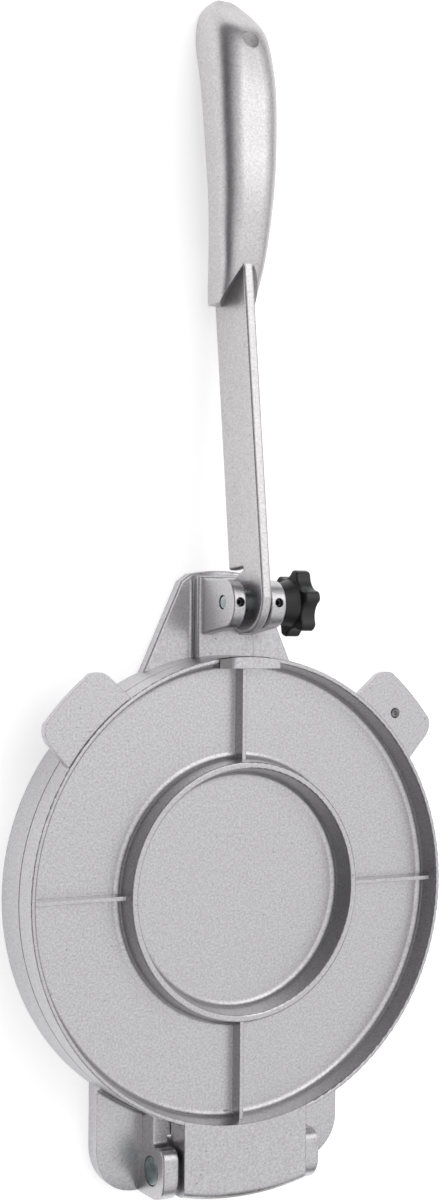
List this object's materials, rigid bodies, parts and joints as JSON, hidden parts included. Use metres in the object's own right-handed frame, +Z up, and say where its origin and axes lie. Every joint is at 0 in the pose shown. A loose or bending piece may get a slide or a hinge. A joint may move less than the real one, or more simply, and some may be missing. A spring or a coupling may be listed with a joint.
{
  "type": "tortilla press",
  "caption": "Cast-metal press: two hinged round plates, an upper one with ribs and finger tabs, and a pivoted lever that bears on its rim.",
  "frame": {"origin": "centre of the round plates, on the surface that the base stands on", "axes": "+Z up, +Y from the plates' centre to the lever, -Y to the plate hinge, +X to the knob"},
  "size_m": [0.202, 0.5228, 0.0448],
  "materials": {
    "cast_base": "cast, tumbled satin",
    "cast_top": "cast, tumbled satin",
    "cast_lever": "cast, tumbled satin",
    "steel_spacer": "plain turned",
    "zinc_pin": "zinc plated",
    "dark_screw": "black oxide",
    "zinc_stud": "zinc plated",
    "black_knob": "moulded, low sheen"
  },
  "bodies": {
    "base": {"base_plate": "cast_base", "hinge_pin": "zinc_pin", "set_screws": "dark_screw"},
    "upper_plate": {"top_plate": "cast_top"},
    "lever": {"lever": "cast_lever", "lever_spacers": "steel_spacer"},
    "knob": {"pivot_stud": "zinc_stud", "star_knob": "black_knob"}
  },
  "joints": [
    {"name": "plate_hinge", "type": "hinge", "parent": "base", "child": "upper_plate", "pos_m": [0, -0.1175, 0.0166], "axis": [1, 0, 0], "range_deg": [0, 110]},
    {"name": "lever_pivot", "type": "hinge", "parent": "base", "child": "lever", "pos_m": [0, 0.124, 0.0282], "axis": [1, 0, 0], "range_deg": [0, 133]},
    {"name": "knob_turn", "type": "hinge", "parent": "base", "child": "knob", "pos_m": [0.0138, 0.124, 0.0282], "axis": [1, 0, 0], "continuous": true}
  ]
}
